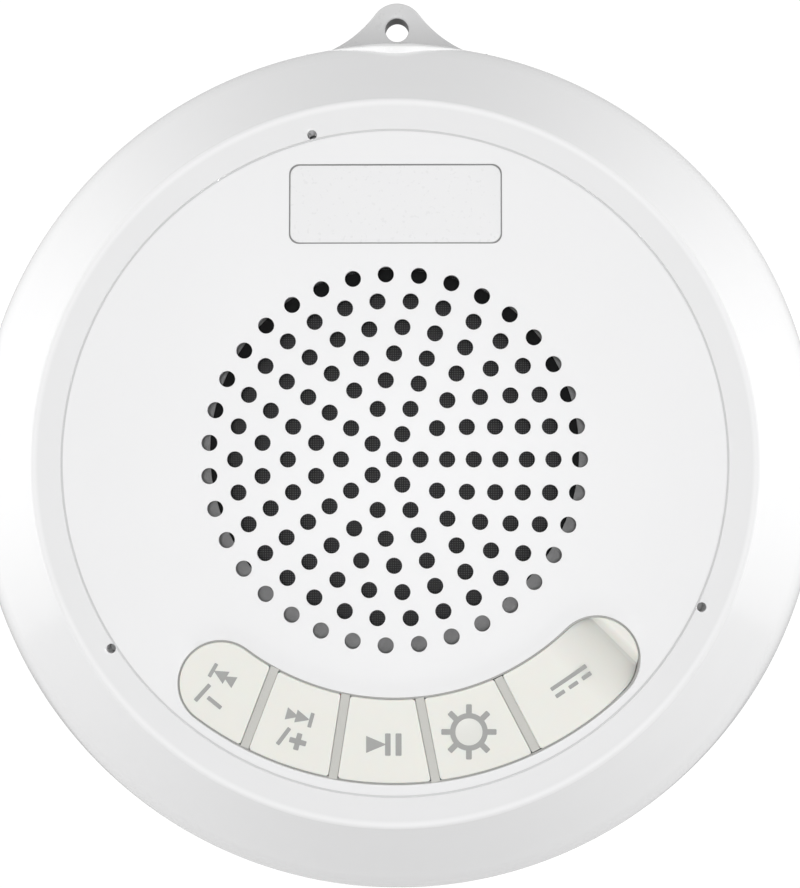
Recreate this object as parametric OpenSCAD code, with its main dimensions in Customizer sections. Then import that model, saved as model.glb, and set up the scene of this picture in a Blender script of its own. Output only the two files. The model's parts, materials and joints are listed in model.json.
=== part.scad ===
// Hanging shower speaker: a round splash-proof loudspeaker with a perforated front panel,
// an arc of four rubber keys, a hinged charging-port flap, a moulded hanging tab
// and a frosted light dome at the back.
// Everything is drawn facing the viewer, with +Z out of the front panel and +Y up,
// and place() turns it upright with the origin at the centre of the hanging hole.

/* [Front shell] */
// Radius of the body at its widest, the equator
body_r = 71.05; // [71:0.05:73]
// Distance from the equator to the face plane
face_z = 33; // [33:0.1:33.4]
// Corner radius of the flat bezel, where it meets the flared wall
bezel_r = 55.2; // [55:0.1:55.6]
// Radius of the opening that takes the front panel
seam_r = 50.4; // [50.3:0.05:50.5]
// Wall thickness of the shell and the dome
wall = 2.5; // [2.2:0.1:2.6]
// Radius of the convex bulge at the equator
bulge_r = 30; // [29.5:0.5:31]
// Slope of the flared wall, measured from the body's axis
flare_angle = 33.5; // [33:0.5:34]
// Height of the pinholes above the body's axis, along the radius
pinhole_r = 51.25; // [51.2:0.05:51.6]
// Diameter of the pinholes beside the seam
pinhole_d = 1.5; // [1:0.1:1.6]

/* [Hanging tab] */
// Height of the hanging hole above the body's axis
hole_height = 74.1; // [73.8:0.1:74.4]
// Diameter of the hanging hole
hole_d = 4; // [3:0.1:4.4]
// Outer radius of the tab's rounded tip
tab_tip_r = 4.7; // [4.5:0.1:5]
// Thickness of the tab
tab_t = 4; // [3.6:0.1:4.4]
// Radius of the concave flanks that blend the tab into the body
tab_flank_r = 20; // [18:1:22]

/* [Rear dome] */
// Depth of the full ellipse that the dome follows
dome_depth = 48.5; // [48:0.5:50]
// Distance from the equator to the flat that the speaker can stand on
rest_z = 47; // [46.5:0.1:47.2]
// Distance behind the equator of the joint between shell and dome
joint_z = 4; // [3.8:0.1:4.4]

/* [Front panel and grille] */
// Thickness of the front panel at its rim
panel_t = 2.5; // [2.4:0.1:2.6]
// Rise of the panel's gentle dome from its rim to its middle
crown = 1.2; // [0.8:0.1:1.4]
// Distance between neighbouring grille rings
grille_pitch = 4; // [3.8:0.05:4.05]
// Diameter of one grille hole
grille_hole_d = 2.5; // [1.6:0.1:2.6]
// Number of rings of holes round the middle one
grille_rings = 7; // [4:1:7]
// Height of the grille's centre above the panel's centre
grille_y = 0.35; // [0:0.05:0.5]
// Width of the blank label
label_w = 32.2; // [28:0.1:32.4]
// Height of the blank label
label_h = 12.1; // [10:0.1:12.2]
// Height of the label's centre above the panel's centre
label_y = 39.1; // [39:0.1:39.3]

/* [Keys and flap] */
// Distance of the keys' stems and grooves from the face's centre
band_mid = 42.35; // [42.3:0.05:42.4]
// Half the width of the key band
band_half = 6.35; // [6.2:0.05:6.4]
// Width of the grooves between the keys
groove_w = 1.4; // [1.2:0.1:1.5]
// Height of the keys above the face plane
key_proud = 0.5; // [0.3:0.1:0.6]
// Travel of a key
key_travel = 0.6; // [0.4:0.1:0.6]

/* [Loudspeaker driver] */
// Outer radius of the driver's flange
flange_r = 30.3; // [30.2:0.1:30.5]
// Radius of the paper cone at its front edge
cone_r = 22; // [21.5:0.1:22.2]
// Outer radius of the voice coil
coil_r = 7.1; // [7.05:0.01:7.1]

/* [Battery] */
// Diameter of the lithium cell
cell_d = 18.5; // [18.2:0.1:18.6]
// Length of the lithium cell
cell_l = 65; // [64.5:0.1:65.5]

/* [Hidden] */
$fn = 96;
gap = 0.3;
bezel_fillet = 1.5;
equator_c = body_r - bulge_r;
ledge_z = face_z - panel_t - 0.2;
label_z = face_z - 0.3;
panel_back = face_z - panel_t;
cloth_top = panel_back - 0.4;
shelf_z = ledge_z - 1.3;
shelf_r = 49.6;
spigot_r = body_r - 2.95;

// The key band is a slightly flatter arc than the face: its centre, its radius and the angles
// of its two rounded ends. The grooves between the keys and their slopes are given by angle too.
band_c = [0, 1.7];
band_r = 43.8;
band_start = 233.4;
band_end = 314.2;
groove_a = [241.3, 258.7, 276.9, 296];
groove_turn = [7.6, 2.5, 4.1, 1.4];
key_a = [232, 250, 267.8, 286.4];
cap_top = face_z + key_proud;
cap_bottom = 30.4;
stem_r = 2.2;
stem_bottom = 27.9;
web_bottom = 28.9;
web_top = 29.5;
rib_top = 32;
flap_bottom = 31.5;
neck_z = 33.1;
socket_a = 310;

// Fastener and electronics positions
boss_r = 60;
boss_a = [30 : 60 : 330];
driver_post_r = 32.9;
driver_post_a = [0 : 90 : 270];
key_post_r = 33;
key_post_a = [228, 250, 290, 312];
deck_z = -0.5;
deck_t = 2;
deck_top = deck_z + deck_t;
board_z = 6;
board_top = board_z + 1.6;
board_x = 28;
board_y = [-55, -31];
board_holes = [[-25, -52], [25, -52], [-25, -39.5], [25, -34]];
cell_y = 43;
cell_z = deck_top + 0.45 + cell_d / 2;
lamp_z = -3.6;
lamp_r = 30;
lamp_holes = [45 : 90 : 315];
pinhole_a = [104.1, 213.4, 334.7];
connector = [6, 4.5, 5];

// Cubic curves that the captive leads follow
speaker_path = [[-20, -36, 12.6], [-20, -36, 22], [-22, -2, 17], [-22, -2, 12]];
battery_path = [[-32.5, 43, 11], [-56, 43, 11], [-52, -46, 10], [-28, -46, 10]];
light_path = [[8, -26, -2], [8, -26, 6], [8, -27, 10], [8, -31.75, 10]];
key_path = [[14, -47, 12.6], [14, -47, 18], [20, -42, 16], [20, -42, 22]];
mic_path_a = [[-12.5, 49.7, 25], [-12.5, 49.7, 22], [8, 48, 25], [38, 40, 22]];
mic_path_b = [[38, 40, 22], [50, 36.8, 20.8], [52, -44, 10], [28, -44, 10]];

// ---- shared functions and shapes ----

function polar(r, a) = [r * cos(a), r * sin(a)];

// Points along an arc in a profile, from angle a to angle b
function arc(c, r, a, b, n) = [for (i = [0 : n]) c + polar(r, a + (b - a) * i / n)];

// Points along the dome's ellipse, from the joint to the rest flat
function dome_arc(r, d, z0, z1, n) =
  [for (i = [0 : n]) let (z = z0 + (z1 - z0) * sin(90 * i / n)) [r * sqrt(1 - z * z / (d * d)), z]];

function bezier(p, t) = pow(1 - t, 3) * p[0] + 3 * t * pow(1 - t, 2) * p[1]
  + 3 * t * t * (1 - t) * p[2] + pow(t, 3) * p[3];

function unit(v) = v / norm(v);

function points_on(p, n) = [for (i = [0 : n]) bezier(p, i / n)];

// One lead: a round tube swept along a list of points, with rings square to the path.
// The first and last rings stand square to the directions given.
module lead(path, r, first, last, side) {
  sides = 8;
  n = len(path);
  rings = [for (i = [0 : n - 1])
    let (t = i == 0 ? first : i == n - 1 ? last : unit(path[i + 1] - path[i - 1]),
         u = unit(cross(side, t)),
         v = cross(t, u))
    for (k = [0 : sides - 1]) path[i] + r * (u * cos(k * 360 / sides) + v * sin(k * 360 / sides))];
  walls = [for (i = [0 : n - 2], k = [0 : sides - 1])
    [i * sides + k, (i + 1) * sides + k, (i + 1) * sides + (k + 1) % sides, i * sides + (k + 1) % sides]];
  polyhedron(points = rings,
             faces = concat([[for (k = [0 : sides - 1]) k]], walls,
                            [[for (k = [sides - 1 : -1 : 0]) (n - 1) * sides + k]]));
}

// Stands the drawing upright, with the hanging hole at the origin
module place() {
  translate([0, 0, -hole_height]) rotate([90, 0, 0]) children();
}

// A ring between two radii and two heights
module ring(r_out, r_in, z0, z1) {
  rotate_extrude() polygon([[r_in, z0], [r_out, z0], [r_out, z1], [r_in, z1]]);
}

module rod(x, y, r, z0, z1) {
  translate([x, y, z0]) cylinder(r = r, h = z1 - z0);
}

module block(x0, x1, y0, y1, z0, z1) {
  translate([x0, y0, z0]) cube([x1 - x0, y1 - y0, z1 - z0]);
}

// A pan-head screw pointing along +Z, with a cross recess in its head
module screw(p, shaft_r, head_r, z_seat, length) {
  head_h = 1.3;
  translate([p[0], p[1], z_seat]) difference() {
    union() {
      translate([0, 0, -head_h]) cylinder(r = head_r, h = head_h);
      cylinder(r = shaft_r, h = length);
    }
    for (a = [0, 90]) rotate(a) block(-head_r * 0.6, head_r * 0.6, -0.25, 0.25, -head_h - 0.1, -head_h + 0.6);
  }
}

// ---- keypad outlines ----

module wedge(a0, a1) {
  polygon([[0, 0], polar(90, a0), polar(90, (a0 + a1) / 2), polar(90, a1)]);
}

// The key band: an arc of constant width with round ends, grown or shrunk by an amount
module key_band(grow) {
  r = band_half + grow;
  polygon(concat(
    arc(band_c, band_r + r, band_start, band_end, 36),
    arc(band_c + polar(band_r, band_end), r, band_end + 10, band_end + 170, 16),
    arc(band_c, band_r - r, band_end, band_start, 36),
    arc(band_c + polar(band_r, band_start), r, band_start + 190, band_start + 350, 16)));
}

// The half of the band on one side of groove i
module beside_groove(i, side) {
  translate(polar(band_mid, groove_a[i])) rotate(groove_a[i] + groove_turn[i])
    translate([-25, side > 0 ? groove_w / 2 : -groove_w / 2 - 60]) square([50, 60]);
}

module after_groove(i) {
  if (i > 0) intersection() { beside_groove(i - 1, 1); children(); }
  else children();
}

module before_groove(i) {
  if (i < 4) intersection() { beside_groove(i, -1); children(); }
  else children();
}

module key_outline(i) {
  after_groove(i) before_groove(i) key_band(-0.15);
}

module key(i) {
  place() {
    translate([0, 0, cap_bottom]) linear_extrude(cap_top - cap_bottom) key_outline(i);
    translate(concat(polar(band_mid, key_a[i]), [stem_bottom]))
      cylinder(r = stem_r, h = cap_bottom - stem_bottom);
  }
}

// ---- housing ----

module tab_outline() {
  reach = body_r + tab_flank_r;
  flank_y = (reach * reach - pow(tab_tip_r + tab_flank_r, 2) + hole_height * hole_height) / (2 * hole_height);
  flank_x = sqrt(reach * reach - flank_y * flank_y);
  foot_x = flank_x * body_r / reach;
  neck_y = hole_height + tab_tip_r * (flank_y - hole_height) / (tab_tip_r + tab_flank_r);
  foot_y = body_r - wall + 0.65;
  difference() {
    translate([-foot_x, foot_y]) square([2 * foot_x, neck_y - foot_y]);
    for (s = [-1, 1]) translate([s * flank_x, flank_y]) circle(r = tab_flank_r);
  }
  translate([0, hole_height]) circle(r = tab_tip_r);
}

module front_shell() {
  lean = tan(flare_angle);
  outer_z = bulge_r * sin(flare_angle);
  inner = bulge_r - wall;
  inner_z = inner * sin(flare_angle);
  inner_x = equator_c + inner * cos(flare_angle);
  turn = 90 - flare_angle;
  fillet_c = [bezel_r - bezel_fillet * tan(turn / 2), face_z - bezel_fillet];
  color("white") place() difference() {
    union() {
      rotate_extrude() polygon(concat(
        [[body_r - wall, -joint_z]],
        [for (z = [-joint_z, -joint_z / 2]) [body_r * sqrt(1 - z * z / (dome_depth * dome_depth)), z]],
        arc([equator_c, 0], bulge_r, 0, flare_angle, 6),
        arc(fillet_c, bezel_fillet, flare_angle, 90, 5),
        [[seam_r, face_z], [seam_r, ledge_z], [shelf_r, ledge_z], [shelf_r, shelf_z],
         [inner_x - (shelf_z - inner_z) * lean, shelf_z]],
        arc([equator_c, 0], inner, flare_angle, 0, 6)));
      translate([0, 0, -tab_t / 2]) linear_extrude(tab_t) tab_outline();
      for (a = boss_a) rod(boss_r * cos(a), boss_r * sin(a), 2.5, deck_top, 19.5);
    }
    rod(0, hole_height, hole_d / 2, -tab_t, tab_t);
    for (a = pinhole_a) rod(pinhole_r * cos(a), pinhole_r * sin(a), pinhole_d / 2, shelf_z - 1, face_z + 1);
    for (a = boss_a) rod(boss_r * cos(a), boss_r * sin(a), 1.1, deck_top - 1, 9.5);
  }
}

module front_panel() {
  color("white") place() difference() {
    union() {
      rotate_extrude() polygon(concat([[0, panel_back], [seam_r - 0.15, panel_back]],
        [for (i = [6 : -1 : 0]) [(seam_r - 0.15) * i / 6, face_z + crown * (1 - i * i / 36)]]));
      for (a = driver_post_a)
        rod(driver_post_r * cos(a), driver_post_r * sin(a), 2.2, 27.6, panel_back);
      for (a = key_post_a) rod(key_post_r * cos(a), key_post_r * sin(a), 1.8, 23.6, panel_back);
    }
    rod(0, grille_y, grille_hole_d / 2, panel_back - 1, face_z + 2);
    for (k = [1 : grille_rings], i = [0 : 5 * k - 1])
      rod(k * grille_pitch * cos(72 * i / k), grille_y + k * grille_pitch * sin(72 * i / k),
          grille_hole_d / 2, panel_back - 1, face_z + 2);
    translate([0, 0, panel_back - 1]) linear_extrude(panel_t + 3) key_band(0.15);
    translate([0, 0, label_z]) linear_extrude(3) label_outline(0.2);
    for (a = driver_post_a) rod(driver_post_r * cos(a), driver_post_r * sin(a), 0.9, 27, 31);
    for (a = key_post_a) rod(key_post_r * cos(a), key_post_r * sin(a), 0.8, 23, 28.5);
  }
}

module label_outline(grow) {
  r = 1.5;
  w = label_w / 2 + grow - 0.2 - r;
  h = label_h / 2 + grow - 0.2 - r;
  translate([0.2, label_y]) polygon([for (q = [0 : 3], i = [0 : 6])
    [(q == 0 || q == 3 ? w : -w), (q < 2 ? h : -h)] + polar(r, 90 * q + 15 * i)]);
}

module face_label() {
  color("gainsboro") place() translate([0, 0, label_z]) linear_extrude(0.4) label_outline(0);
}

module rear_dome() {
  top = -joint_z - gap;
  inner_r = body_r - wall;
  inner_d = dome_depth - wall;
  floor_z = -rest_z + wall;
  color("ivory") place() union() {
    rotate_extrude() polygon(concat(
      dome_arc(body_r, dome_depth, top, -rest_z, 14),
      [[0, -rest_z], [0, floor_z]],
      [for (i = [14 : -1 : 0]) dome_arc(inner_r, inner_d, top, floor_z, 14)[i]]));
    ring(spigot_r, spigot_r - 2, -8.5, 1);
  }
}

module housing_seal() {
  color("dimgray") place() ring(body_r - 0.6, spigot_r + 0.5, -joint_z - gap, -joint_z);
}

module panel_seal() {
  color("dimgray") place() ring(seam_r - 0.15, shelf_r, ledge_z, panel_back);
}

module deck() {
  color("white") place() difference() {
    union() {
      rod(0, 0, spigot_r - 2 - gap, deck_z, deck_top);
      for (p = board_holes) rod(p[0], p[1], 2.4, deck_top, board_z);
      for (a = lamp_holes) rod(25 * cos(a), 25 * sin(a), 2.4, lamp_z + 1.6, deck_z);
    }
    for (a = boss_a) rod(boss_r * cos(a), boss_r * sin(a), 1.35, deck_z - 1, deck_top + 1);
    for (p = board_holes) rod(p[0], p[1], 0.85, deck_top - 1, board_z + 1);
    for (a = lamp_holes) rod(25 * cos(a), 25 * sin(a), 0.85, -3, deck_top + 1);
    rod(8, -26, 2.5, deck_z - 1, deck_top + 1);
  }
}

module deck_screws() {
  color("silver") place() for (a = boss_a) screw(polar(boss_r, a), 1.1, 2.5, deck_z, 9);
}

// ---- keypad, flap and charging socket ----

module key_web() {
  color("ivory") place() difference() {
    union() {
      translate([0, 0, web_bottom]) linear_extrude(web_top - web_bottom) key_band(0.55);
      translate([0, 0, web_bottom]) linear_extrude(panel_back - web_bottom) difference() {
        key_band(0.55);
        key_band(0.15);
      }
      for (i = [0 : 3]) translate([0, 0, web_bottom]) linear_extrude(rib_top - web_bottom)
        translate(polar(band_mid, groove_a[i])) rotate(groove_a[i] + groove_turn[i])
          square([2 * band_half - 0.6, groove_w - 0.6], center = true);
    }
    for (a = key_a) rod(band_mid * cos(a), band_mid * sin(a), stem_r + 0.4, web_bottom - 1, web_top + 1);
    translate(concat(polar(band_mid, socket_a), [web_bottom - 1])) rotate(socket_a)
      linear_extrude(2) square([8.1, 3.1], center = true);
  }
}

module volume_down_key() { color("ivory") key(0); }
module volume_up_key() { color("ivory") key(1); }
module play_key() { color("ivory") key(2); }
module light_key() { color("ivory") key(3); }

// The flap covers the charging socket. Its hollow foot seals round the socket's mouth,
// its free end has a thumb scoop, and a round bead in the last groove is its bending neck.
module port_flap() {
  color("ivory") place() difference() {
    union() {
      translate(concat(polar(band_mid, groove_a[3]), [neck_z])) rotate(groove_a[3] + groove_turn[3]) {
        rotate([0, 90, 0]) cylinder(r = 0.3, h = 11.6, center = true);
        block(-5.8, 5.8, 0, groove_w / 2 + 0.4, -0.15, 0.15);
      }
      translate([0, 0, flap_bottom]) linear_extrude(cap_top - flap_bottom) key_outline(4);
      translate(concat(polar(band_mid, socket_a), [29.7])) rotate(socket_a)
        linear_extrude(flap_bottom - 29.7) square([10, 5], center = true);
    }
    translate(concat(polar(band_mid, socket_a), [29])) rotate(socket_a)
      linear_extrude(1.9) square([8.2, 3.2], center = true);
    translate([33.15, -27.4, cap_top]) rotate([90, 0, 45.4]) linear_extrude(30, center = true)
      polygon([[-5, 0], [0, -0.7], [0, 1], [-5, 1]]);
  }
}

module key_board() {
  color("seagreen") place() difference() {
    translate([0, 0, 22]) linear_extrude(1.6) intersection() {
      difference() {
        circle(r = 48.4);
        circle(r = 31.2);
      }
      wedge(224, 325);
    }
    for (a = key_post_a) rod(key_post_r * cos(a), key_post_r * sin(a), 0.95, 21, 25);
  }
}

module at_keys() {
  for (a = key_a) translate(concat(polar(band_mid, a), [23.6])) rotate(a) children();
}

module key_switches() {
  color("dimgray") place() at_keys() translate([-3, -3, 0]) cube([6, 6, 3.1]);
}

module key_plungers() {
  color("black") place() at_keys() translate([0, 0, 3.1]) cylinder(r = 1.7, h = 0.4);
}

module key_board_screws() {
  color("silver") place() for (a = key_post_a) screw(polar(key_post_r, a), 0.8, 1.6, 22, 6);
}

module socket_shell() {
  color("silver") place() translate(concat(polar(band_mid, socket_a), [23.6])) rotate(socket_a)
    difference() {
      translate([-3.75, -1.25, 0]) cube([7.5, 2.5, 5.6]);
      translate([-3.4, -0.9, 0.6]) cube([6.8, 1.8, 6]);
    }
}

module socket_tongue() {
  color("black") place() translate(concat(polar(band_mid, socket_a), [24.2])) rotate(socket_a)
    translate([-2.4, -0.35, 0]) cube([4.8, 0.7, 4.2]);
}

// ---- loudspeaker driver ----

// The grey ring behind the outermost holes; its opening sits a little above the grille's centre
module cloth_ring() {
  color("dimgray") place() difference() {
    rod(0, 0, 29.9, cloth_top, panel_back);
    rod(0, grille_y + 1.3, 28.2, cloth_top - 1, panel_back + 1);
  }
}

module speaker_cloth() {
  color("black") place() rod(0, 0, 29.9, cloth_top - 0.4, cloth_top);
}

module speaker_gasket() {
  color("dimgray") place() ring(29.9, 27.3, 27.6, cloth_top - 0.4);
}

module driver_basket() {
  color("dimgray") place() difference() {
    union() {
      rotate_extrude() polygon([[8.2, 12], [16, 12], [27.6, 26.4], [flange_r, 26.4], [flange_r, 27.6],
                                [26.4, 27.6], [26.4, 26.8], [15.4, 13.1], [8.2, 13.1]]);
      for (a = driver_post_a) rod(driver_post_r * cos(a), driver_post_r * sin(a), 2.6, 26.4, 27.6);
      for (a = driver_post_a) rotate(a) block(flange_r - 1, driver_post_r, -2.6, 2.6, 26.4, 27.6);
    }
    for (a = driver_post_a) rod(driver_post_r * cos(a), driver_post_r * sin(a), 1.05, 26, 28);
    for (a = [30 : 60 : 330]) rotate(a) block(14, 32, -4.5, 4.5, 16.5, 23.5);
  }
}

module driver_top_plate() {
  color("silver") place() ring(14.5, coil_r + gap, 10.5, 12);
}

module driver_magnet() {
  color("gray") place() ring(15, 9, 5.5, 10.5);
}

module driver_yoke() {
  color("silver") place() union() {
    rod(0, 0, 14.5, 3.8, 5.5);
    rod(0, 0, 6.3, 5.5, 12);
  }
}

// Half-roll rubber surround: a flat lip on the flange and an arched roll
module driver_surround() {
  roll_c = [24.4, 27.6];
  color("black") place() rotate_extrude() polygon(concat(
    arc(roll_c, 1.9, 180, 14, 10), [[27.2, 28.06], [27.2, 27.6]], arc(roll_c, 1.5, 0, 180, 10)));
}

module driver_spider() {
  steps = 8;
  r0 = coil_r + gap;
  pitch = (15.3 - r0) / steps;
  color("goldenrod") place() rotate_extrude() polygon(concat(
    [for (i = [0 : steps]) [r0 + i * pitch, 13.1 + 0.5 * (i % 2)]],
    [for (i = [steps : -1 : 0]) [r0 + i * pitch, 13.5 + 0.5 * (i % 2)]]));
}

module driver_terminal() {
  color("saddlebrown") place() block(-24.5, -15.3, -4, 4, 10.8, 12);
}

module driver_screws() {
  color("silver") place() for (a = driver_post_a) screw(polar(driver_post_r, a), 0.9, 1.9, 26.4, 4.2);
}

module driver_cone() {
  color("black") place() rotate_extrude() polygon([[coil_r, 17], [coil_r + 0.6, 16.6], [cone_r, 26.4],
                                                    [cone_r, 27], [cone_r - 0.6, 27]]);
}

module driver_dust_cap() {
  cap_r = 9;
  color("black") place() rotate_extrude() polygon(concat(
    [[0, 20.1]], [[0, 20.6]],
    [for (i = [1 : 6]) [i * 7.9 / 6, 20.6 - (cap_r - sqrt(cap_r * cap_r - pow(i * 7.9 / 6, 2))) * 0.62]],
    [for (i = [6 : -1 : 1]) [i * 7.4 / 6, 20.1 - (cap_r - sqrt(cap_r * cap_r - pow(i * 7.4 / 6, 2))) * 0.62]]));
}

module voice_coil() {
  color("peru") place() ring(coil_r, coil_r - 0.45, 8.5, 17);
}

// ---- electronics ----

module main_board() {
  color("seagreen") place() difference() {
    block(-board_x, board_x, board_y[0], board_y[1], board_z, board_top);
    for (p = board_holes) rod(p[0], p[1], 1.2, board_z - 1, board_top + 1);
  }
}

module bluetooth_module() {
  color("silver") place() block(-8, 5, -52.5, -37, board_top, board_top + 2.4);
}

module amplifier_chip() {
  color("black") place() block(-17, -11, -44, -38, board_top, board_top + 1);
}

module capacitors() {
  color("black") place() for (x = [-10.5, -15.2, -19.9]) rod(x, -51.5, 2.1, board_top, board_top + 5.6);
}

module board_connectors() {
  c = connector;
  color("ivory") place() {
    block(-20 - c[0] / 2, -20 + c[0] / 2, -38.25, -33.75, board_top, board_top + c[2]);
    block(-board_x, -board_x + c[1], -46 - c[0] / 2, -46 + c[0] / 2, board_top, board_top + c[2]);
    block(8 - c[0] / 2, 8 + c[0] / 2, -31.75 - c[1], -31.75, board_top, board_top + c[2]);
    block(14 - c[0] / 2, 14 + c[0] / 2, -47 - c[1] / 2, -47 + c[1] / 2, board_top, board_top + c[2]);
    block(board_x - c[1], board_x, -44 - c[0] / 2, -44 + c[0] / 2, board_top, board_top + c[2]);
  }
}

// Screws that are driven from the front, with their heads on the board
module board_screws() {
  color("silver") place() for (p = board_holes) translate([0, 0, board_top]) mirror([0, 0, 1])
    screw(p, 0.85, 1.7, 0, 5.5);
}

module battery_cell() {
  color("royalblue") place() translate([-cell_l / 2, cell_y, cell_z]) rotate([0, 90, 0])
    cylinder(r = cell_d / 2, h = cell_l);
}

// Open-ended trough that the cell lies in
module battery_cradle() {
  half = cell_d / 2 + 1.4;
  color("white") place() difference() {
    block(-29, 29, cell_y - half, cell_y + half, deck_top, cell_z + 2);
    translate([-40, cell_y, cell_z]) rotate([0, 90, 0]) cylinder(r = cell_d / 2 + 0.1, h = 80);
  }
}

// Adhesive straps over the cell, one near each end
module battery_tape() {
  color("goldenrod") place() for (x = [-22, 14]) translate([x, cell_y, cell_z]) rotate([0, 90, 0])
    difference() {
      cylinder(r = cell_d / 2 + 0.35, h = 8);
      translate([0, 0, -1]) cylinder(r = cell_d / 2 + 0.02, h = 10);
      translate([-2.5, -20, -1]) cube([30, 40, 10]);
    }
}

module microphone() {
  color("silver") place() translate(concat(polar(pinhole_r, pinhole_a[0]), [25.8])) cylinder(r = 1.4, h = 1.5);
}

module microphone_boot() {
  color("black") place() translate(concat(polar(pinhole_r, pinhole_a[0]), [25])) difference() {
    cylinder(r = 2.3, h = shelf_z - 25);
    translate([0, 0, 0.8]) cylinder(r = 1.4, h = 6);
  }
}

module vent_membranes() {
  color("white") place() for (i = [1, 2]) translate(concat(polar(pinhole_r, pinhole_a[i]), [shelf_z - 0.3]))
    cylinder(r = 2.3, h = 0.3);
}

module lamp_board() {
  color("white") place() difference() {
    rod(0, 0, lamp_r, lamp_z, lamp_z + 1.6);
    for (a = lamp_holes) rod(25 * cos(a), 25 * sin(a), 1.2, lamp_z - 1, lamp_z + 3);
  }
}

module lamp_leds() {
  color("gold") place() for (a = [0 : 45 : 315]) rotate(a) block(15.5, 20.5, -2.5, 2.5, lamp_z - 1.6, lamp_z);
}

module lamp_screws() {
  color("silver") place() for (a = lamp_holes) screw(polar(25, a), 0.85, 1.7, lamp_z, 5);
}

module light_reflector() {
  color("white") place() ring(56, 33, deck_z - 0.8, deck_z);
}

// ---- captive leads ----

module speaker_lead() {
  color("crimson") place() lead(points_on(speaker_path, 13), 0.9, [0, 0, 1], [0, 0, -1], [1, 0, 0]);
}

module battery_lead() {
  color("crimson") place() lead(points_on(battery_path, 17), 0.9, [-1, 0, 0], [1, 0, 0], [0, 0, 1]);
}

module light_lead() {
  color("white") place() lead(points_on(light_path, 8), 0.8, [0, 0, 1], [0, -1, 0], [1, 0, 0]);
}

module key_lead() {
  color("white") place() lead(points_on(key_path, 9), 0.8, [0, 0, 1], [0, 0, 1], [-4, -5, 0]);
}

module microphone_lead() {
  path = concat(points_on(mic_path_a, 10), [for (i = [1 : 14]) bezier(mic_path_b, i / 14)]);
  color("black") place() lead(path, 0.7, [0, 0, -1], [-1, 0, 0], [1, 0.3, 1.2]);
}

front_shell();
front_panel();
rear_dome();
housing_seal();
panel_seal();
face_label();
key_web();
volume_down_key();
volume_up_key();
play_key();
light_key();
port_flap();
cloth_ring();
speaker_cloth();
speaker_gasket();
driver_basket();
driver_top_plate();
driver_magnet();
driver_yoke();
driver_surround();
driver_spider();
driver_terminal();
driver_screws();
driver_cone();
driver_dust_cap();
voice_coil();
deck();
deck_screws();
main_board();
bluetooth_module();
amplifier_chip();
capacitors();
board_connectors();
board_screws();
battery_cell();
battery_cradle();
battery_tape();
key_board();
key_switches();
key_plungers();
key_board_screws();
socket_shell();
socket_tongue();
microphone();
microphone_boot();
vent_membranes();
lamp_board();
lamp_leds();
lamp_screws();
light_reflector();
speaker_lead();
battery_lead();
light_lead();
key_lead();
microphone_lead();
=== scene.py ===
"""Shower speaker: the visible pieces, materials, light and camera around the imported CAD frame."""
import json
import math

import bpy
import bmesh
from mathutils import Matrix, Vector


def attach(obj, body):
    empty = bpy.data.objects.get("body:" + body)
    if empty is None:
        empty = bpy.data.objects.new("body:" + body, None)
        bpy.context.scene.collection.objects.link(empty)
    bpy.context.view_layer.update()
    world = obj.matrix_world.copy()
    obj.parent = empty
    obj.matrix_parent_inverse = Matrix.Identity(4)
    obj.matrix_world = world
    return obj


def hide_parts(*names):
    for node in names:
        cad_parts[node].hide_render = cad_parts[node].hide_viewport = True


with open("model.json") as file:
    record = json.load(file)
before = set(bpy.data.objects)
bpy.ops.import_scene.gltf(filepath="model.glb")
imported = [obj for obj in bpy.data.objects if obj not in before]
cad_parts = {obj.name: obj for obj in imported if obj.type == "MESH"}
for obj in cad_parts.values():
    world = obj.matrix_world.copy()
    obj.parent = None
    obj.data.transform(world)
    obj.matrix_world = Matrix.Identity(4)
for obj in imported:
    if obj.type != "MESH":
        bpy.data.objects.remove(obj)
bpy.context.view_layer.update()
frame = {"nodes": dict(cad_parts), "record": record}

HOLE_Z = 74.1          # hanging hole above the body's axis, mm
MM = 0.001


def P(x, y, z):
    """Face drawing (x right, y up, z towards the viewer, mm) to the row frame, in metres."""
    return Vector((x * MM, -z * MM, (y - HOLE_Z) * MM))


def polar(r, a):
    return r * math.cos(math.radians(a)), r * math.sin(math.radians(a))


# ---------------------------------------------------------------- dimensions, mm
# Heights count from the body's equator towards the viewer. Angles are in degrees.
FACE = 33.0            # the face plane
SEAM_R = 50.4          # opening that takes the front panel
BODY_R = 71.05
BULGE_R = 30.0         # convex side wall
EQ_C = BODY_R - BULGE_R
FLARE = 33.5           # slope of the flared wall
BEZEL_R = 55.2         # corner between the bezel and the flared wall
WALL = 2.5
DOME_D = 48.5          # depth of the rear dome's full ellipse
REST = 47.0            # flat that the speaker can stand on
JOINT = 4.0            # joint between shell and dome
SPIGOT = (66.1, 68.1, -8.5, 1.0)         # the dome's inner collar: radii and heights
PANEL_BACK = 30.5
LEDGE = 30.3
SHELF_Z = 29.0
SHELF_R = 49.6
BAND_MID = 42.35       # distance of the keys' stems and grooves from the face's middle
BAND_HALF = 6.35
BAND_C = (0.0, 1.7)    # the key band's centre, radius and ends
BAND_R = 43.8
BAND_A = (233.4, 314.2)
GROOVES = ((241.3, 7.6), (258.7, 2.5), (276.9, 4.1), (296.0, 1.4))    # angle and extra turn
GROOVE_W = 1.4
KEY_TOP = 33.1         # before the face's rise
STEM_A = (232, 250, 267.8, 286.4)
SOCKET_A = 310
PINHOLES = (104.1, 213.4, 334.7)
PINHOLE_R = 51.25
GRILLE_Y = 0.35        # height of the grille's middle
GRILLE_PITCH = 4.0
GRILLE_RINGS = 7
CLOTH_TOP = PANEL_BACK - 0.4
CLOTH_R = 29.8
LABEL_C = (0.2, 39.1)
LABEL_SIZE = (32.3, 12.2)                # the recess in the panel
CROWN = 1.2            # rise of the face from its rim to its middle
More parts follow.
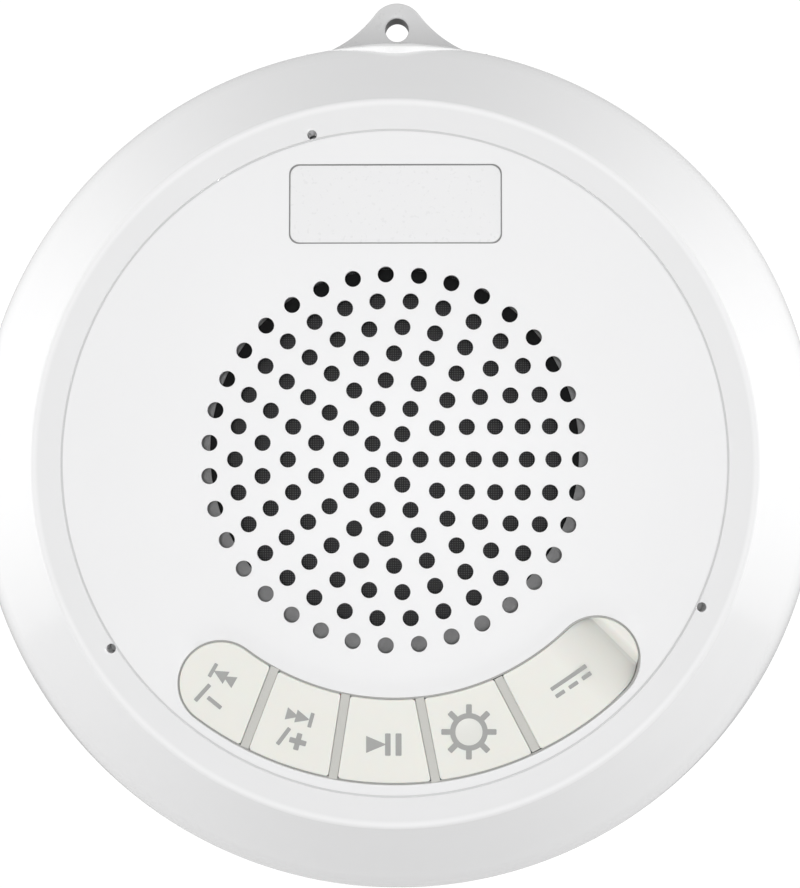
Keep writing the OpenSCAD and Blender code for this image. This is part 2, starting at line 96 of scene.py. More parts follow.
CREASE = (33.15, -27.4)                  # the thumb scoop's deepest line: a point and its normal
CREASE_DIR = (math.cos(math.radians(45.4)), math.sin(math.radians(45.4)))


def crown(x, y):
    """Extra height of the gently domed face at a point."""
    r2 = (x * x + y * y) / (SEAM_R * SEAM_R)
    return CROWN * max(0.0, 1.0 - r2)


# ---------------------------------------------------------------- mesh helpers
def smoothstep(a, b, v):
    """0 below a, 1 above b, and a smooth rise between."""
    t = min(1.0, max(0.0, (v - a) / (b - a)))
    return t * t * (3 - 2 * t)


def new_object(name, verts, faces, mats, smooth=True, angle=35.0, domed=False):
    """A closed mesh from points in the face drawing."""
    pts = [P(x, y, z + (crown(x, y) if domed else 0.0)) for x, y, z in verts]
    me = bpy.data.meshes.new(name)
    me.from_pydata([tuple(p) for p in pts], [], faces)
    me.update()
    bm = bmesh.new()
    bm.from_mesh(me)
    bmesh.ops.recalc_face_normals(bm, faces=bm.faces)
    bm.to_mesh(me)
    bm.free()
    ob = bpy.data.objects.new(name, me)
    bpy.context.scene.collection.objects.link(ob)
    for m in (mats if isinstance(mats, (list, tuple)) else [mats]):
        me.materials.append(m)
    if smooth:
        shade(ob, angle)
    return ob


def shade(ob, angle=35.0):
    me = ob.data
    me.polygons.foreach_set("use_smooth", [True] * len(me.polygons))
    me.set_sharp_from_angle(angle=math.radians(angle))


def weighted(ob):
    """Flat faces stay flat in shading beside small fillets."""
    m = ob.modifiers.new("even_shading", "WEIGHTED_NORMAL")
    m.keep_sharp = True
    m.weight = 80


def revolve(profile, segs, centre=(0.0, 0.0)):
    """Vertices and faces of a closed profile [(r, z)] turned about the axis. A point at r = 0 is shared."""
    verts, rows = [], []
    for r, z in profile:
        if r < 1e-6:
            rows.append([len(verts)] * segs)
            verts.append((centre[0], centre[1], z))
        else:
            rows.append(list(range(len(verts), len(verts) + segs)))
            for k in range(segs):
                a = 2 * math.pi * k / segs
                verts.append((centre[0] + r * math.cos(a), centre[1] + r * math.sin(a), z))
    faces = []
    n = len(profile)
    for i in range(n):
        a, b = rows[i], rows[(i + 1) % n]
        if a[0] == a[1] and b[0] == b[1]:
            continue
        for k in range(segs):
            q = [a[k], a[(k + 1) % segs], b[(k + 1) % segs], b[k]]
            f = [v for j, v in enumerate(q) if v not in q[:j]]
            if len(f) > 2:
                faces.append(f)
    return verts, faces


def arc(cx, cz, r, a0, a1, n):
    """n + 1 points of an arc from angle a0 to a1."""
    return [(cx + r * math.cos(math.radians(a0 + (a1 - a0) * i / n)),
             cz + r * math.sin(math.radians(a0 + (a1 - a0) * i / n))) for i in range(n + 1)]


def circle(r, cy=0.0, n=160):
    return [(r * math.cos(2 * math.pi * k / n), cy + r * math.sin(2 * math.pi * k / n)) for k in range(n)]


def loft(rings):
    """Faces over stacked rings of equal length, with fans closing the ends."""
    verts, faces = [], []
    n = len(rings[0])
    for ring in rings:
        verts += ring
    for i in range(len(rings) - 1):
        for k in range(n):
            a, b = i * n + k, i * n + (k + 1) % n
            faces.append((a, b, b + n, a + n))
    for ring, base in ((rings[0], 0), (rings[-1], (len(rings) - 1) * n)):
        c = len(verts)
        verts.append(tuple(sum(p[j] for p in ring) / n for j in range(3)))
        faces += [(base + k, base + (k + 1) % n, c) for k in range(n)]
    return verts, faces


def prism(outline, z0, z1):
    """A closed outline raised from z0 to z1."""
    n = len(outline)
    verts = [(x, y, z0) for x, y in outline] + [(x, y, z1) for x, y in outline]
    faces = [tuple(range(n)), tuple(range(n, 2 * n))]
    faces += [(k, (k + 1) % n, n + (k + 1) % n, n + k) for k in range(n)]
    return verts, faces


def join(parts):
    """Several (vertices, faces) as one."""
    verts, faces = [], []
    for v, f in parts:
        base = len(verts)
        verts += v
        faces += [tuple(i + base for i in face) for face in f]
    return verts, faces


def cut(ob, cutter):
    """Take the cutter out of the piece, and remove the cutter."""
    m = ob.modifiers.new("cut", "BOOLEAN")
    m.operation = "DIFFERENCE"
    m.object = cutter
    m.solver = "MANIFOLD"
    dg = bpy.context.evaluated_depsgraph_get()
    me = bpy.data.meshes.new_from_object(ob.evaluated_get(dg))
    ob.modifiers.clear()
    old = ob.data
    ob.data = me
    me.name = ob.name
    bpy.data.meshes.remove(old)
    bpy.data.objects.remove(cutter)


# ---------------------------------------------------------------- materials
def material(name, base, rough, metallic=0.0, **k):
    """A Principled material with procedural colour drift, roughness drift and bump."""
    m = bpy.data.materials.new(name)
    m.use_nodes = True
    nt = m.node_tree
    nt.nodes.clear()
    N, L = nt.nodes.new, nt.links.new
    out = N("ShaderNodeOutputMaterial")
    bs = N("ShaderNodeBsdfPrincipled")
    L(bs.outputs[0], out.inputs[0])
    co = N("ShaderNodeTexCoord")
    drift = N("ShaderNodeTexNoise")
    drift.inputs["Scale"].default_value = k.get("drift_scale", 40.0)
    drift.inputs["Detail"].default_value = 3.0
    L(co.outputs["Object"], drift.inputs["Vector"])
    amount = k.get("drift", 0.03)
    ramp = N("ShaderNodeValToRGB")
    ramp.color_ramp.elements[0].position = 0.3
    ramp.color_ramp.elements[1].position = 0.7
    ramp.color_ramp.elements[0].color = (*[c * (1 - amount) for c in base], 1)
    ramp.color_ramp.elements[1].color = (*[min(1.0, c * (1 + amount * 0.4)) for c in base], 1)
    L(drift.outputs["Fac"], ramp.inputs[0])
    # a painted shade that changes with height, used for the tab's darkening towards the body
    if "fade" in k:          # (height, colour factor) at two heights, metres
        (z0, f0), (z1, f1) = k["fade"]
        axes = N("ShaderNodeSeparateXYZ")
        fade = N("ShaderNodeMapRange")
        tint = N("ShaderNodeVectorMath")
        tint.operation = "SCALE"
        L(co.outputs["Object"], axes.inputs[0])
        L(axes.outputs["Z"], fade.inputs["Value"])
        for socket, value in zip(("From Min", "From Max", "To Min", "To Max"), (z0, z1, f0, f1)):
            fade.inputs[socket].default_value = value
        L(ramp.outputs[0], tint.inputs[0])
        L(fade.outputs[0], tint.inputs["Scale"])
        L(tint.outputs[0], bs.inputs["Base Color"])
    else:
        L(ramp.outputs[0], bs.inputs["Base Color"])
    grain = N("ShaderNodeTexNoise")
    grain.inputs["Scale"].default_value = k.get("grain_scale", 3000.0)
    grain.inputs["Detail"].default_value = 4.0
    L(co.outputs["Object"], grain.inputs["Vector"])
    rr = N("ShaderNodeMapRange")
    rr.inputs["From Min"].default_value = 0.3
    rr.inputs["From Max"].default_value = 0.7
    spread = k.get("rough_spread", 0.04)
    rr.inputs["To Min"].default_value = max(0.02, rough - spread)
    rr.inputs["To Max"].default_value = rough + spread
    L(grain.outputs["Fac"], rr.inputs["Value"])
    L(rr.outputs[0], bs.inputs["Roughness"])
    bump = N("ShaderNodeBump")
    bump.inputs["Strength"].default_value = k.get("bump", 0.15)
    bump.inputs["Distance"].default_value = k.get("bump_distance", 0.00002)
    if "wave_scale" in k:
        wave = N("ShaderNodeTexWave")
        wave.bands_direction = k.get("wave_dir", "X")
        wave.inputs["Scale"].default_value = k["wave_scale"]
        wave.inputs["Distortion"].default_value = k.get("wave_distortion", 0.5)
        L(co.outputs["Object"], wave.inputs["Vector"])
        L(wave.outputs["Fac"], bump.inputs["Height"])
    else:
        L(grain.outputs["Fac"], bump.inputs["Height"])
    L(bump.outputs[0], bs.inputs["Normal"])
    bs.inputs["Metallic"].default_value = metallic
    for socket, value in k.get("set", {}).items():
        bs.inputs[socket].default_value = value
    return m


def node_of(m, kind):
    return next(n for n in m.node_tree.nodes if n.type == kind)


def math_node(m, operation, *inputs):
    """The output of a new Math node, fed by sockets or plain numbers."""
    node = m.node_tree.nodes.new("ShaderNodeMath")
    node.operation = operation
    for i, value in enumerate(inputs):
        if hasattr(value, "is_output"):
            m.node_tree.links.new(value, node.inputs[i])
        else:
            node.inputs[i].default_value = value
    return node.outputs[0]


def ramped(m, value, low, high, at_low, at_high):
    """A value mapped from low..high to at_low..at_high, and held outside."""
    node = m.node_tree.nodes.new("ShaderNodeMapRange")
    m.node_tree.links.new(value, node.inputs["Value"])
    for socket, number in zip(("From Min", "From Max", "To Min", "To Max"), (low, high, at_low, at_high)):
        node.inputs[socket].default_value = number
    return node.outputs[0]


def scale_colour(m, factor):
    """Multiply a material's base colour by a socket's value."""
    nt = m.node_tree
    bs = node_of(m, "BSDF_PRINCIPLED")
    scale = nt.nodes.new("ShaderNodeVectorMath")
    scale.operation = "SCALE"
    nt.links.new(bs.inputs["Base Color"].links[0].from_socket, scale.inputs[0])
    nt.links.new(factor, scale.inputs["Scale"])
    nt.links.new(scale.outputs[0], bs.inputs["Base Color"])


def along(m, direction, origin=(0.0, 0.0, 0.0), length=False):
    """How far a point lies from the origin along a direction, in metres. With length, the direction is a
    mask of axes, and it is the distance from the origin over those axes."""
    nt = m.node_tree
    off = nt.nodes.new("ShaderNodeVectorMath")
    off.operation = "SUBTRACT"
    nt.links.new(node_of(m, "TEX_COORD").outputs["Object"], off.inputs[0])
    off.inputs[1].default_value = origin
    dot = nt.nodes.new("ShaderNodeVectorMath")
    if length:
        flat = nt.nodes.new("ShaderNodeVectorMath")
        flat.operation = "MULTIPLY"
        nt.links.new(off.outputs[0], flat.inputs[0])
        flat.inputs[1].default_value = direction
        dot.operation = "LENGTH"
        nt.links.new(flat.outputs[0], dot.inputs[0])
    else:
        dot.operation = "DOT_PRODUCT"
        nt.links.new(off.outputs[0], dot.inputs[0])
        dot.inputs[1].default_value = direction
    return dot.outputs["Value"]


def cloth_material():
    """Black woven cloth: over and under threads from two crossed waves."""
    m = material("woven_cloth", (0.05, 0.05, 0.052), 0.75, bump=0.6, bump_distance=0.00006)
    nt = m.node_tree
    waves = []
    for d in ("X", "Z"):
        w = nt.nodes.new("ShaderNodeTexWave")
        w.bands_direction = d
        w.inputs["Scale"].default_value = 900.0
        w.inputs["Distortion"].default_value = 0.3
        nt.links.new(node_of(m, "TEX_COORD").outputs["Object"], w.inputs["Vector"])
        waves.append(w.outputs["Fac"])
    threads = math_node(m, "MULTIPLY", *waves)
    ramp = nt.nodes.new("ShaderNodeValToRGB")
    ramp.color_ramp.elements[0].position = 0.05
    ramp.color_ramp.elements[1].position = 0.75
    ramp.color_ramp.elements[0].color = (0.06, 0.06, 0.061, 1)
    ramp.color_ramp.elements[1].color = (0.21, 0.21, 0.215, 1)
    nt.links.new(threads, ramp.inputs[0])
    nt.links.new(ramp.outputs[0], node_of(m, "BSDF_PRINCIPLED").inputs["Base Color"])
    nt.links.new(threads, node_of(m, "BUMP").inputs["Height"])
    return m


SHELL = material("gloss_shell", (0.93, 0.93, 0.935), 0.16, drift=0.01, grain_scale=160.0, bump=0.03,
                 bump_distance=0.00004, rough_spread=0.02, set={"Coat Weight": 0.25, "Coat Roughness": 0.06})
AXIS = (0.0, 0.0, -HOLE_Z * MM)
# painted highlight: a slightly paler line along the bezel's corner
BEZEL_HIGHLIGHT_R = 54.65 * MM
highlight_offset = math_node(SHELL, "SUBTRACT", along(SHELL, (1.0, 0.0, 1.0), AXIS, length=True), BEZEL_HIGHLIGHT_R)
highlight_distance = math_node(SHELL, "ABSOLUTE", highlight_offset)
scale_colour(SHELL, ramped(SHELL, highlight_distance, 0.0001, 0.0006, 0.933, 0.86))
# Painted shade: the tab is the shell's white plastic, coloured grey here and darker towards the body, for the
# shade the body casts on it.
TAB = material("tab_shell_painted_shade", (0.58, 0.58, 0.582), 0.3, drift=0.01, grain_scale=900.0, bump=0.05,
               fade=((-0.003, 0.86), (0.0045, 1.14)))
# Painted shade inside the hanging hole: its wall is the shell's plastic, coloured dark grey.
TAB_BORE = material("tab_bore_painted_shade", (0.15, 0.15, 0.151), 0.5, drift=0.03, grain_scale=900.0, bump=0.1)
# Painted highlight: the pad's front step is coloured paler than the shell's white, for the light it catches.
PAD = material("tab_pad", (0.96, 0.96, 0.962), 0.25, drift=0.01, grain_scale=900.0, bump=0.05)
PANEL = material("satin_panel", (0.82, 0.82, 0.825), 0.38, drift=0.01, grain_scale=2600.0, bump=0.10,
                 bump_distance=0.00001, rough_spread=0.05)
DOME = material("frosted_dome", (0.86, 0.85, 0.82), 0.48, drift=0.02, grain_scale=3200.0, bump=0.2,
                bump_distance=0.00002, set={"Subsurface Weight": 0.35, "Subsurface Scale": 0.004})
SILICONE = {"base": (0.80, 0.795, 0.745), "rough": 0.5, "drift": 0.015, "grain_scale": 4200.0, "bump": 0.22,
            "bump_distance": 0.00001, "rough_spread": 0.06,
            "set": {"Subsurface Weight": 0.15, "Subsurface Scale": 0.0015, "Sheen Weight": 0.08}}
KEYS = material("key_silicone", **SILICONE)
FLAP = material("flap_silicone_painted_shade", **SILICONE)
# painted shade: the cover is darker in its thumb scoop, most of all at the crease
along_scoop = along(FLAP, (CREASE_DIR[0], 0.0, CREASE_DIR[1]),
                    (CREASE[0] * MM, 0.0, (CREASE[1] - HOLE_Z) * MM))
scale_colour(FLAP, math_node(FLAP, "MAXIMUM", ramped(FLAP, along_scoop, -0.0080, -0.0003, 1.0, 0.80),
                             ramped(FLAP, along_scoop, -0.0003, 0.0004, 0.0, 1.0)))
LENS = material("key_window", (0.74, 0.74, 0.70), 0.35, drift=0.02, grain_scale=2500.0, bump=0.05)
# Painted shade in the grooves: the same silicone as the keys, coloured darker.
STRIP = material("groove_silicone_painted_shade", (0.57, 0.566, 0.535), 0.55, drift=0.02, grain_scale=4200.0, bump=0.2,
                 bump_distance=0.00001)
INK = material("key_ink", (0.36, 0.36, 0.35), 0.55, drift=0.04, drift_scale=300.0, grain_scale=5000.0,
               bump=0.2, bump_distance=0.00001)
LABEL = material("label_film", (0.80, 0.80, 0.805), 0.3, drift=0.008, grain_scale=1500.0, bump=0.05,
                 bump_distance=0.00001)
# Painted shadow: a dark ring in the gap round the label, where shade falls.
BORDER = material("label_gap_painted_shade", (0.26, 0.26, 0.26), 0.5, drift=0.05, drift_scale=300.0, grain_scale=5000.0,
                  bump=0.1)
# Painted shade: a grey ring in the gap round the key band, darker than the keys' silicone.
BAND_GREY = material("band_gap_painted_shade", (0.42, 0.42, 0.41), 0.6, drift=0.04, grain_scale=4200.0, bump=0.15)
# Painted shade: a grey ring in the seam round the panel, coloured for the shade in the gap.
FILLER = material("seam_painted_shade", (0.64, 0.64, 0.645), 0.7, drift=0.05, grain_scale=3000.0, bump=0.2)
# Painted shade: a near-black ring on the cloth behind the outermost holes.
BLACK = material("cloth_edge_painted_shade", (0.008, 0.008, 0.009), 0.8, drift=0.1, drift_scale=500.0, grain_scale=3500.0,
                 bump=0.3)
CLOTH = cloth_material()
GREY_RING = material("grille_ring_foam", (0.5, 0.5, 0.503), 0.8, drift=0.12, drift_scale=500.0,
                     grain_scale=3500.0, bump=0.6, bump_distance=0.0001)

# Inner parts, by the record's slot: colour, roughness, metal, extra settings
INNER = {
    "seal_grey": ((0.30, 0.30, 0.30), 0.6, 0, {"bump": 0.3}),
    "key_silicone": ((0.66, 0.655, 0.61), 0.55, 0, {"bump": 0.2}),
    "foam_grey": ((0.06, 0.06, 0.06), 0.9, 0, {"bump": 0.8, "bump_distance": 0.0002, "drift": 0.2}),
    "basket_steel": ((0.03, 0.03, 0.033), 0.35, 0, {"bump": 0.25, "grain_scale": 1500.0}),
    "plated_steel": ((0.55, 0.56, 0.57), 0.3, 1, {"wave_scale": 1200.0, "bump": 0.1}),
    "ferrite": ((0.05, 0.05, 0.052), 0.6, 0, {"bump": 0.5, "grain_scale": 1800.0, "drift": 0.15}),
    "rubber_black": ((0.02, 0.02, 0.02), 0.6, 0, {"bump": 0.3}),
    "spider_cloth": ((0.48, 0.31, 0.11), 0.8, 0, {"wave_scale": 700.0, "bump": 0.6, "drift": 0.15}),
    "board_brown": ((0.19, 0.09, 0.04), 0.5, 0, {"wave_scale": 500.0, "bump": 0.2, "drift": 0.15}),
    "screw_steel": ((0.6, 0.6, 0.62), 0.28, 1, {"bump": 0.15, "grain_scale": 2500.0}),
    "cone_paper": ((0.025, 0.025, 0.028), 0.85, 0, {"bump": 0.7, "grain_scale": 900.0, "drift": 0.2}),
    "coil_copper": ((0.72, 0.32, 0.13), 0.3, 1, {"wave_scale": 2600.0, "wave_dir": "Y", "bump": 0.7}),
    "inner_white": ((0.72, 0.72, 0.71), 0.42, 0, {"bump": 0.15, "grain_scale": 1400.0}),
    "board_green": ((0.01, 0.10, 0.045), 0.32, 0, {"wave_scale": 800.0, "bump": 0.15, "drift": 0.3}),
    "shield_tin": ((0.66, 0.66, 0.67), 0.35, 1, {"bump": 0.2, "grain_scale": 900.0}),
    "chip_black": ((0.018, 0.018, 0.018), 0.5, 0, {"bump": 0.3}),
    "connector_nylon": ((0.70, 0.66, 0.52), 0.45, 0, {"bump": 0.15}),
    "cell_wrap": ((0.02, 0.06, 0.28), 0.25, 0, {"bump": 0.1, "grain_scale": 400.0}),
    "tape_amber": ((0.55, 0.24, 0.03), 0.25, 0, {"bump": 0.2, "grain_scale": 600.0}),
    "membrane_white": ((0.72, 0.72, 0.72), 0.9, 0, {"wave_scale": 1500.0, "bump": 0.5}),
    "lamp_board_white": ((0.75, 0.75, 0.75), 0.35, 0, {"bump": 0.1, "grain_scale": 1200.0}),
    "led_yellow": ((0.80, 0.55, 0.06), 0.25, 0,
                   {"bump": 0.1, "set": {"Subsurface Weight": 0.2, "Subsurface Scale": 0.001}}),
    "lead_red": ((0.42, 0.01, 0.01), 0.42, 0, {"bump": 0.15, "grain_scale": 1000.0}),
    "lead_white": ((0.70, 0.70, 0.70), 0.42, 0, {"bump": 0.15, "grain_scale": 1000.0}),
    "lead_black": ((0.02, 0.02, 0.02), 0.42, 0, {"bump": 0.15, "grain_scale": 1000.0}),
}
by_slot = {"cloth_black": CLOTH}
for slot_name, (colour, rough, metal, extra) in INNER.items():
    by_slot[slot_name] = material("inner_" + slot_name, colour, rough, float(metal), **extra)

node_slot = {s["node"]: s["material_slot"] for s in frame["record"]["subparts"]}
for node, ob in frame["nodes"].items():
    m = by_slot.get(node_slot.get(node), by_slot["inner_white"])
    ob.data.materials.clear()
    ob.data.materials.append(m)


def piece(ob, body, slot_name, *nodes):
    """Attach a finished piece to its body and hide the CAD nodes it replaces. The material slot is not used.
    """
    if nodes:
        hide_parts(*nodes)
    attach(ob, body)
    return ob


# ---------------------------------------------------------------- front shell
def ellipse(r, d, z):
    """Radius at height z of an ellipse of radius r and depth d."""
    return r * math.sqrt(max(0.0, 1 - z * z / d ** 2))


def shell_profile():
    """Half section of the shell: outside from the joint to the seam, then inside back to the joint."""
    lean = math.tan(math.radians(FLARE))
    inner = BULGE_R - WALL
    turn = 90 - FLARE
    fillet, bezel_drop = 0.8, 0.12
    inner_x = EQ_C + inner * math.cos(math.radians(FLARE))
    inner_z = inner * math.sin(math.radians(FLARE))
    joint_r = ellipse(BODY_R, DOME_D, -JOINT)
    p = [(BODY_R - WALL, -JOINT), (joint_r - 0.35, -JOINT), (joint_r - 0.1, -JOINT + 0.08)]
    p += [(ellipse(BODY_R, DOME_D, z), z) for z in (-JOINT + 0.3, -3.0, -2.0, -1.0)]
    p += arc(EQ_C, 0, BULGE_R, 0, FLARE, 34)
    cone_top = arc(BEZEL_R - fillet * math.tan(math.radians(turn / 2)), FACE - fillet - bezel_drop, fillet,
                   FLARE, 90, 12)
    start = p[-1]
    for i in range(1, 12):
        t = i / 12
        p.append((start[0] + (cone_top[0][0] - start[0]) * t, start[1] + (cone_top[0][1] - start[1]) * t))
    p += cone_top
    # the bezel rises a little towards its edge at the seam
    p += [(53.2, FACE - 0.07), (52.2, FACE - 0.04), (51.3, FACE - 0.02), (SEAM_R + 0.42, FACE)]
    p += [(SEAM_R + 0.2, FACE), (SEAM_R + 0.17, FACE - 0.12), (SEAM_R, FACE - 0.14), (SEAM_R, LEDGE)]
    p += [(SHELF_R, LEDGE), (SHELF_R, SHELF_Z), (inner_x - (SHELF_Z - inner_z) * lean, SHELF_Z)]
    p += arc(EQ_C, 0, inner, FLARE, 0, 20)
    return p


PIN_R, PIN_FLARE = 0.72, 0.08


def pin_cutter(angle):
    """One pinhole beside the seam, with a small flare at its mouth."""
    bottom, mouth = SHELF_Z - 1, FACE - 0.01
    prof = [(0.0, bottom), (PIN_R, bottom), (PIN_R, mouth - PIN_FLARE)]
    for a in (30, 60, 85):
        t = math.radians(a)
        prof.append((PIN_R + PIN_FLARE * (1 - math.cos(t)), mouth - PIN_FLARE + PIN_FLARE * math.sin(t)))
    prof += [(PIN_R + PIN_FLARE, mouth + 3), (0.0, mouth + 3)]
    return revolve(prof, 24, polar(PINHOLE_R, angle))


shell = new_object("front_shell_skin", *revolve(shell_profile(), 320), SHELL, angle=50)
cut(shell, new_object("pin_cutter", *join([pin_cutter(a) for a in PINHOLES]), SHELL, smooth=False))
shade(shell, 50)
weighted(shell)
piece(shell, "housing", "shell_white", "front_shell")


# ---------------------------------------------------------------- hanging tab
def tab_piece():
    """The flat tab: a rounded tip, concave flanks and softened edges, with the hanging hole through it."""
    tip, flank, hole_r = 4.7, 20.0, 2.0
    half, soft = 2.0, 0.55               # half the thickness, and the softening of the outer edge
    root_y = 69.4                        # under the shell's surface
    reach = BODY_R + flank
    fy = (reach ** 2 - (tip + flank) ** 2 + HOLE_Z ** 2) / (2 * HOLE_Z)
    fx = math.sqrt(reach ** 2 - fy ** 2)
    a_tip = math.degrees(math.atan2(fy - HOLE_Z, fx))
    right = arc(0, HOLE_Z, tip, 90, a_tip, 26)
    start = math.degrees(math.atan2(HOLE_Z - fy, -fx)) % 360
    foot = math.degrees(math.atan2(-fy, -fx)) % 360
    right += arc(fx, fy, flank, start, foot, 30)[1:]
    right.append((right[-1][0], root_y))
    outline = right + [(-x, y) for x, y in reversed(right)][:-1]
    area = sum(x0 * y1 - x1 * y0 for (x0, y0), (x1, y1) in zip(outline, outline[1:] + outline[:1]))
    side = 1 if area > 0 else -1
    hole = circle(hole_r, HOLE_Z, 72)

    def inset(pts, d):
        """The outline moved inwards by d."""
        out = []
        for i, (x, y) in enumerate(pts):
            x0, y0 = pts[i - 1]
            x1, y1 = pts[(i + 1) % len(pts)]
            tx, ty = x1 - x0, y1 - y0
            s = math.hypot(tx, ty)
            out.append((x - d * ty / s * side, y + d * tx / s * side))
        return out

    def rings(pts, outer):
        """The edge from front to back, softened inwards on the outline and outwards at the hole."""
        rows = []
        edge = soft if outer else soft * 0.5
        for a in (0, 22, 45, 68, 90):
            d = edge * (1 - math.sin(math.radians(a)))
            z = half - edge * (1 - math.cos(math.radians(a)))
            ring = inset(pts, d) if outer else [
                (x * (hole_r + d) / hole_r, HOLE_Z + (y - HOLE_Z) * (hole_r + d) / hole_r) for x, y in pts]
            rows.append([(x, y, z) for x, y in ring])
        rows += [[(x, y, -z) for x, y, z in row] for row in reversed(rows)]
        return rows

    bm = bmesh.new()
    ends = []
    for pts, outer in ((outline, True), (hole, False)):
        rows = rings(pts, outer)
        vr = [[bm.verts.new(p) for p in row] for row in rows]
        k = len(pts)
        for i in range(len(vr) - 1):
            for j in range(k):
                bm.faces.new((vr[i][j], vr[i][(j + 1) % k], vr[i + 1][(j + 1) % k], vr[i + 1][j]))
        ends.append((vr[0], vr[-1]))
    for which in (0, 1):
        edges = [bm.edges.get((loop[j], loop[(j + 1) % len(loop)]))
                 for loop in (ends[0][which], ends[1][which]) for j in range(len(loop))]
        bmesh.ops.triangle_fill(bm, use_beauty=True, use_dissolve=False, edges=edges)
    bmesh.ops.recalc_face_normals(bm, faces=bm.faces)
    verts = [tuple(v.co) for v in bm.verts]
    index = {v: i for i, v in enumerate(bm.verts)}
    faces = [tuple(index[v] for v in f.verts) for f in bm.faces]
    bm.free()
    ob = new_object("hanging_tab", verts, faces, [TAB, TAB_BORE, SHELL], angle=40)
    # painted shade: the hole's wall gets the dark bore colour and the outer edge the shell's white, while the
    # two faces keep the tab's painted grey
    for face in ob.data.polygons:      # the hole's wall, then the outer edge
        if math.hypot(face.center.x, face.center.z) < (hole_r + 0.03) * MM:
            face.material_index = 1
        elif abs(face.normal.y) < 0.3:
            face.material_index = 2
    weighted(ob)
    return ob


piece(tab_piece(), "housing", "shell_white", "front_shell")

# the pad from its middle outwards: distance from the middle, its front edge's height, its thickness
PAD_SHAPE = ((0.0, 15.7, 1.10), (1.4, 15.55, 1.06), (2.8, 14.9, 0.90), (4.2, 14.1, 0.70), (5.6, 13.4, 0.52),
             (8.0, 12.0, 0.30), (11.0, 9.6, 0.08), (12.2, 8.4, -0.04))
# its section from the front edge to the tab: distance behind the front edge (None is at the tab), and
# share of the thickness (None is under the shell's surface)
PAD_SECTION = ((0.0, None), (0.0, 0.12), (0.12, 0.7), (0.4, 1.0), (3.2, 0.8), (None, 0.25), (None, None))


def tab_pad():
    """The low lens-shaped pad on the shell's shoulder in front of the tab's root."""
    def at(x):
        for (x0, f0, l0), (x1, f1, l1) in zip(PAD_SHAPE, PAD_SHAPE[1:]):
            if x <= x1:
                t = (x - x0) / (x1 - x0)
                return f0 + (f1 - f0) * t, l0 + (l1 - l0) * t
        return PAD_SHAPE[-1][1:]

    half, n = PAD_SHAPE[-1][0], 61
    rows = []
    for inward, share in PAD_SECTION:
        row = []
        for i in range(n):
            x = half * (-1 + 2 * i / (n - 1))
            front, lift = at(abs(x))
            z = 1.8 if inward is None else front - inward
            base = EQ_C + math.sqrt(BULGE_R ** 2 - z * z)
            rise = -0.6 if share is None else lift * share - 0.04
            row.append((x, math.sqrt((base + rise) ** 2 - x * x), z))
        rows.append(row)
    verts = [p for row in rows for p in row]
    m = len(rows)
    faces = [(r * n + i, r * n + i + 1, ((r + 1) % m) * n + i + 1, ((r + 1) % m) * n + i)
             for r in range(m) for i in range(n - 1)]
    faces += [tuple(r * n for r in range(m)), tuple(r * n + n - 1 for r in reversed(range(m)))]
    ob = new_object("tab_pad", verts, faces, [SHELL, PAD], angle=50)
    # painted highlight on the front step
    for face in ob.data.polygons:      # only the step in front is the paler one
        face.material_index = 1 if face.index < 3 * (n - 1) else 0
    return ob


piece(tab_pad(), "housing", "shell_white")


# ---------------------------------------------------------------- rear dome
def dome_profile():
    """Half section of the dome: outside from the joint to the flat, then inside back to the collar."""
    top = -JOINT - 0.3
    inner_r, inner_d, floor_z = BODY_R - WALL, DOME_D - WALL, -REST + WALL
    collar_in, collar_out, collar_foot, collar_top = SPIGOT
    top_r = ellipse(BODY_R, DOME_D, top)
    p = [(collar_out, top), (top_r - 0.35, top), (top_r - 0.08, top - 0.1)]
    n = 48
    zs = [top + (-REST - top) * math.sin(math.pi / 2 * i / n) for i in range(1, n + 1)]
    p += [(ellipse(BODY_R, DOME_D, z), z) for z in zs if z > -REST + 0.5]
    edge = ellipse(BODY_R, DOME_D, -REST)
    p += [(edge + 1.1, -REST + 0.22), (edge + 0.4, -REST + 0.05), (edge - 0.5, -REST)]
    p += [(12.0, -REST), (0.0, -REST), (0.0, floor_z), (12.0, floor_z)]
    zs = [floor_z + (collar_foot - floor_z) * (1 - math.cos(math.pi / 2 * i / 24)) for i in range(0, 25)]
    p += [(ellipse(inner_r, inner_d, z), z) for z in zs]
    p += [(collar_in, collar_foot), (collar_in, collar_top), (collar_out, collar_top)]
    return p


dome = new_object("rear_dome_skin", *revolve(dome_profile(), 256), DOME, angle=40)
piece(dome, "housing", "dome_frost", "rear_dome")


# ---------------------------------------------------------------- key outlines
def rounded(d, r):
    """Signed distance to the overlap of several shapes, with its corners rounded by r."""
    q = [v + r for v in d]
    outside = math.sqrt(sum(max(v, 0.0) ** 2 for v in q))
    return outside + min(max(q), 0.0) - r


def band_distance(x, y):
    """Signed distance to the key band's edge, negative inside."""
    x, y = x - BAND_C[0], y - BAND_C[1]
    r, a = math.hypot(x, y), math.degrees(math.atan2(y, x)) % 360
    if BAND_A[0] <= a <= BAND_A[1]:
        return abs(r - BAND_R) - BAND_HALF
    return min(math.hypot(x - polar(BAND_R, e)[0], y - polar(BAND_R, e)[1]) for e in BAND_A) - BAND_HALF


def groove_distance(i, x, y):
    """Distance past groove i's middle line, positive on the counter-clockwise side."""
    a, turn = GROOVES[i]
    cx, cy = polar(BAND_MID, a)
    t = math.radians(a + turn)
    return -(x - cx) * math.sin(t) + (y - cy) * math.cos(t)


def key_distance(i, x, y, grow):
    """Signed distance to the outline of key i, from 0 (volume down) to 4 (the cover)."""
    d = [band_distance(x, y) - grow]
    beside = GROOVE_W / 2 - grow - 0.05
    if i > 0:
        d.append(beside - groove_distance(i - 1, x, y))
    if i < COVER:
        d.append(beside + groove_distance(i, x, y))
    return rounded(d, 0.35)


